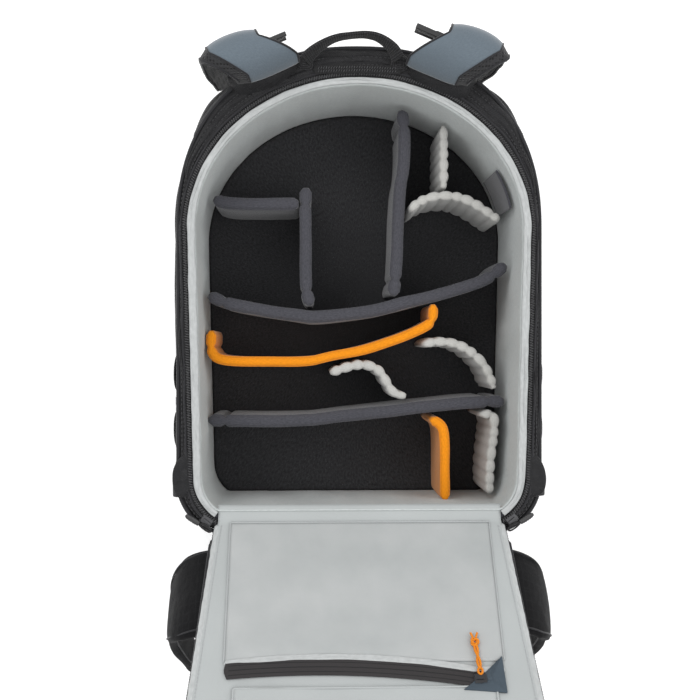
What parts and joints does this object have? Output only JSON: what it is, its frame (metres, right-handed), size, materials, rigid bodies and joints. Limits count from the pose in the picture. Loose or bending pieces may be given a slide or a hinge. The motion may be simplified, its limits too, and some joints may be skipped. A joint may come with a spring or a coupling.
{
  "type": "camera backpack",
  "caption": "Back-opening camera backpack lying on its front face, with its flap folded open, padded movable dividers, shoulder straps, carry handle and hip belt.",
  "frame": {"origin": "centre of the flat front face that the bag lies on", "axes": "+X across the bag, +Y from its bottom to its top, +Z from its front face up to its back opening"},
  "size_m": [0.3904, 0.8526, 0.5041],
  "materials": {
    "black_nylon": "matte",
    "black_mesh": "matte",
    "wing_fabric": "matte",
    "foam": "matte",
    "grey_lining": "satin",
    "floor_lining": "matte",
    "grey_binding": "matte",
    "zip_tape": "matte",
    "webbing": "matte",
    "buckle_plastic": "satin",
    "zip_metal": "satin",
    "black_cord": "matte",
    "orange_cord": "matte",
    "pocket_film": "satin",
    "strap_blue": "matte",
    "divider_grey": "matte",
    "divider_quilt": "matte",
    "divider_orange": "matte"
  },
  "bodies": {
    "bag": {"outer_shell": "black_nylon", "base_boot": "black_nylon", "top_panel": "black_nylon", "foam_wall": "foam", "wall_lining": "grey_lining", "floor_board": "floor_lining", "yoke_panel": "black_nylon", "rim_binding": "grey_binding", "main_zip_tape": "zip_tape", "main_zip_sliders": "zip_metal", "top_zip": "zip_tape", "front_shell": "black_nylon", "laptop_sleeve": "foam", "front_pocket": "black_nylon", "front_zips": "zip_tape", "side_pockets": "black_mesh", "side_straps": "webbing", "strap_keepers": "buckle_plastic", "anchor_tabs": "webbing", "anchor_buckles": "buckle_plastic"},
    "flap": {"flap_board": "foam", "flap_cover": "black_nylon", "flap_lining": "grey_lining", "flap_zip_tape": "zip_tape", "pocket_window": "pocket_film", "pocket_binding": "grey_binding", "pocket_zip_tapes": "zip_tape", "lower_pocket": "grey_lining", "corner_patch": "strap_blue", "back_pads": "black_mesh", "lumbar_pad": "black_mesh"},
    "zip_slider": {"pocket_slider": "zip_metal"},
    "zip_pull": {"pocket_pull": "orange_cord"},
    "main_pull_left": {"main_pull_left": "black_cord"},
    "main_pull_right": {"main_pull_right": "black_cord"},
    "handle": {"handle": "webbing"},
    "hip_wing_left": {"hip_wing_left": "wing_fabric", "hip_buckle_left": "buckle_plastic"},
    "hip_wing_right": {"hip_wing_right": "wing_fabric", "hip_buckle_right": "buckle_plastic"},
    "shoulder_strap_left": {"strap_pad_left": "strap_blue", "strap_webbing_left": "webbing", "strap_buckle_left": "buckle_plastic", "sternum_strap_left": "buckle_plastic"},
    "shoulder_strap_right": {"strap_pad_right": "strap_blue", "strap_webbing_right": "webbing", "strap_buckle_right": "buckle_plastic", "sternum_strap_right": "buckle_plastic"},
    "divider_lens_shelf": {"divider_lens_shelf": "divider_grey"},
    "divider_camera_left": {"divider_camera_left": "divider_grey"},
    "divider_camera_right": {"divider_camera_right": "divider_grey"},
    "divider_cross_upper": {"divider_cross_upper": "divider_grey"},
    "divider_charger_wall": {"divider_charger_wall": "divider_quilt"},
    "divider_lens_arc": {"divider_lens_arc": "divider_quilt"},
    "divider_orange_cross": {"divider_orange_cross": "divider_orange"},
    "divider_pad_centre": {"divider_pad_centre": "divider_quilt"},
    "divider_pad_right": {"divider_pad_right": "divider_quilt"},
    "divider_cross_lower": {"divider_cross_lower": "divider_grey"},
    "divider_orange_upright": {"divider_orange_upright": "divider_orange"},
    "divider_battery_wall": {"divider_battery_wall": "divider_quilt"}
  },
  "joints": [
    {"name": "flap_hinge", "type": "hinge", "parent": "bag", "child": "flap", "pos_m": [0, -0.224, 0.227], "axis": [1, 0, 0], "range_deg": [-139.8, 20]},
    {"name": "pocket_zip_slide", "type": "slide", "parent": "flap", "child": "zip_slider", "axis": [-1, 0, 0], "range_m": [0, 0.2]},
    {"name": "pocket_pull_hinge", "type": "hinge", "parent": "zip_slider", "child": "zip_pull", "pos_m": [0.104, -0.34731, 0.33674], "axis": [-1, 0, 0], "range_deg": [-150, 0]},
    {"name": "handle_hinge", "type": "hinge", "parent": "bag", "child": "handle", "pos_m": [-0.008, 0.226, 0.238], "axis": [-1, 0, 0], "range_deg": [-90, 0]},
    {"name": "main_pull_left_hinge", "type": "hinge", "parent": "bag", "child": "main_pull_left", "pos_m": [-0.1465, -0.2377, 0.2326], "axis": [0.5446, 0.8387, 0], "range_deg": [0, 95]},
    {"name": "main_pull_right_hinge", "type": "hinge", "parent": "bag", "child": "main_pull_right", "pos_m": [0.1465, -0.2377, 0.2326], "axis": [0.5446, -0.8387, 0], "range_deg": [0, 95]},
    {"name": "hip_wing_left_hinge", "type": "hinge", "parent": "flap", "child": "hip_wing_left", "pos_m": [-0.136, -0.30301, 0.26197], "axis": [0, -0.766, 0.6428], "range_deg": [-8, 35]},
    {"name": "hip_wing_right_hinge", "type": "hinge", "parent": "flap", "child": "hip_wing_right", "pos_m": [0.136, -0.30301, 0.26197], "axis": [0, 0.766, -0.6428], "range_deg": [-8, 35]},
    {"name": "shoulder_strap_left_hinge", "type": "hinge", "parent": "bag", "child": "shoulder_strap_left", "pos_m": [-0.085, 0.2145, 0.24], "axis": [0.9205, 0.3907, 0], "range_deg": [0, 70]},
    {"name": "shoulder_strap_right_hinge", "type": "hinge", "parent": "bag", "child": "shoulder_strap_right", "pos_m": [0.07, 0.2145, 0.24], "axis": [0.9205, -0.3907, 0], "range_deg": [0, 70]},
    {"name": "divider_lens_shelf_lift", "type": "slide", "parent": "bag", "child": "divider_lens_shelf", "axis": [0, 0, 1], "range_m": [0, 0.18]},
    {"name": "divider_camera_left_lift", "type": "slide", "parent": "bag", "child": "divider_camera_left", "axis": [0, 0, 1], "range_m": [0, 0.18]},
    {"name": "divider_camera_right_lift", "type": "slide", "parent": "bag", "child": "divider_camera_right", "axis": [0, 0, 1], "range_m": [0, 0.18]},
    {"name": "divider_cross_upper_lift", "type": "slide", "parent": "bag", "child": "divider_cross_upper", "axis": [0, 0, 1], "range_m": [0, 0.18]},
    {"name": "divider_charger_wall_lift", "type": "slide", "parent": "bag", "child": "divider_charger_wall", "axis": [0, 0, 1], "range_m": [0, 0.18]},
    {"name": "divider_lens_arc_lift", "type": "slide", "parent": "bag", "child": "divider_lens_arc", "axis": [0, 0, 1], "range_m": [0, 0.18]},
    {"name": "divider_orange_cross_lift", "type": "slide", "parent": "bag", "child": "divider_orange_cross", "axis": [0, 0, 1], "range_m": [0, 0.18]},
    {"name": "divider_pad_centre_lift", "type": "slide", "parent": "bag", "child": "divider_pad_centre", "axis": [0, 0, 1], "range_m": [0, 0.18]},
    {"name": "divider_pad_right_lift", "type": "slide", "parent": "bag", "child": "divider_pad_right", "axis": [0, 0, 1], "range_m": [0, 0.18]},
    {"name": "divider_cross_lower_lift", "type": "slide", "parent": "bag", "child": "divider_cross_lower", "axis": [0, 0, 1], "range_m": [0, 0.18]},
    {"name": "divider_orange_upright_lift", "type": "slide", "parent": "bag", "child": "divider_orange_upright", "axis": [0, 0, 1], "range_m": [0, 0.18]},
    {"name": "divider_battery_wall_lift", "type": "slide", "parent": "bag", "child": "divider_battery_wall", "axis": [0, 0, 1], "range_m": [0, 0.18]}
  ]
}
